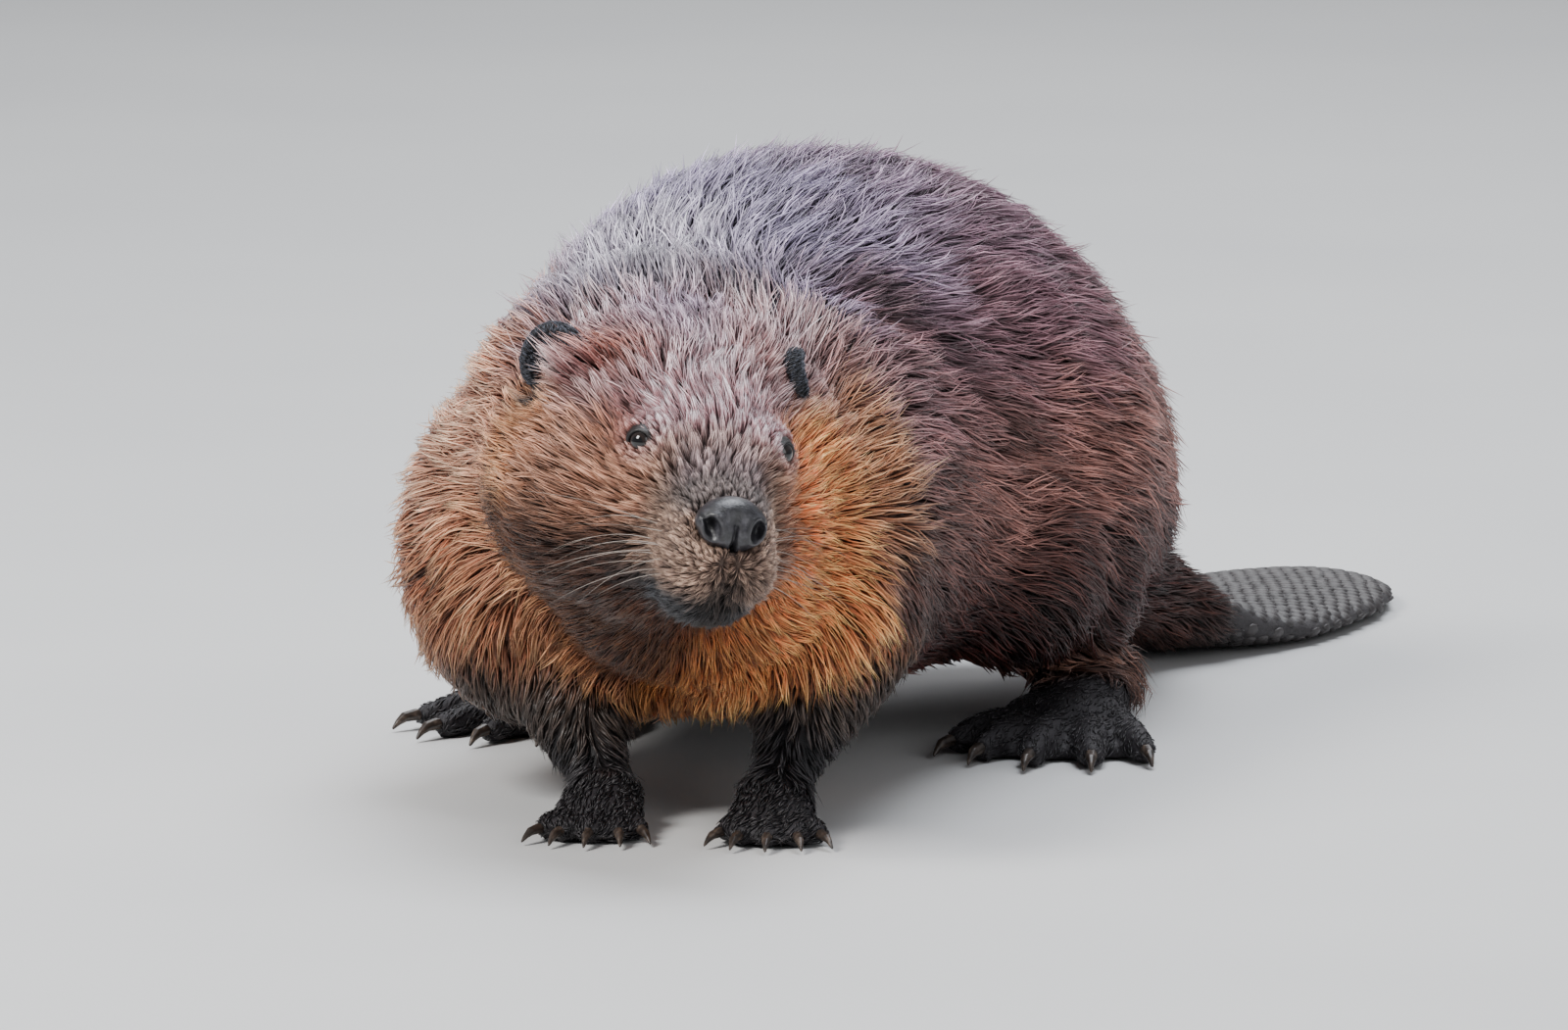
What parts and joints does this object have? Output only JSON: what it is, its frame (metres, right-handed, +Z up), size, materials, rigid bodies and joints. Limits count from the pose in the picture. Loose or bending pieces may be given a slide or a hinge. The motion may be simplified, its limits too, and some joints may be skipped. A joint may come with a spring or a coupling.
{
  "type": "Eurasian beaver",
  "caption": "Life-size still model of a Eurasian beaver, crouched on all fours with its head turned to its left and its flat tail laid on the floor behind it.",
  "frame": {"origin": "middle of the animal's box, on the floor under its belly", "axes": "+Y from the chest to the tail, so the animal faces -Y; +X is its left; +Z up"},
  "size_m": [0.3422, 0.8644, 0.2569],
  "materials": {
    "coat": "dense wet fur in pointed clumps, dark brown at the roots and grey-mauve at the tips",
    "cheek_fur": "shorter wet fur, orange-brown on the cheeks and neck, grey-brown on the forehead",
    "nose_skin": "bare wet skin, slate black, finely pebbled",
    "ear_skin": "thin skin under very short black hair",
    "foot_skin": "dark scaly skin with short hair above",
    "tail_skin": "dark grey skin covered in flat scales",
    "claw": "smooth dark horn",
    "eye": "wet black-brown eye"
  },
  "bodies": {
    "root": {"belly": "coat", "chest": "coat", "ear_left": "ear_skin", "ear_right": "ear_skin", "eye_left": "eye", "eye_right": "eye", "foreleg_left": "coat", "foreleg_right": "coat", "forepaw_left": "foot_skin", "forepaw_left_claw_1": "claw", "forepaw_left_claw_2": "claw", "forepaw_left_claw_3": "claw", "forepaw_left_claw_4": "claw", "forepaw_left_claw_5": "claw", "forepaw_right": "foot_skin", "forepaw_right_claw_1": "claw", "forepaw_right_claw_2": "claw", "forepaw_right_claw_3": "claw", "forepaw_right_claw_4": "claw", "forepaw_right_claw_5": "claw", "head": "cheek_fur", "hind_foot_left": "foot_skin", "hind_foot_left_claw_1": "claw", "hind_foot_left_claw_2": "claw", "hind_foot_left_claw_3": "claw", "hind_foot_left_claw_4": "claw", "hind_foot_left_claw_5": "claw", "hind_foot_right": "foot_skin", "hind_foot_right_claw_1": "claw", "hind_foot_right_claw_2": "claw", "hind_foot_right_claw_3": "claw", "hind_foot_right_claw_4": "claw", "hind_foot_right_claw_5": "claw", "lower_jaw": "coat", "neck": "cheek_fur", "nose": "nose_skin", "rump": "coat", "tail_blade": "tail_skin", "tail_root": "coat", "thigh_left": "coat", "thigh_right": "coat"}
  },
  "joints": []
}
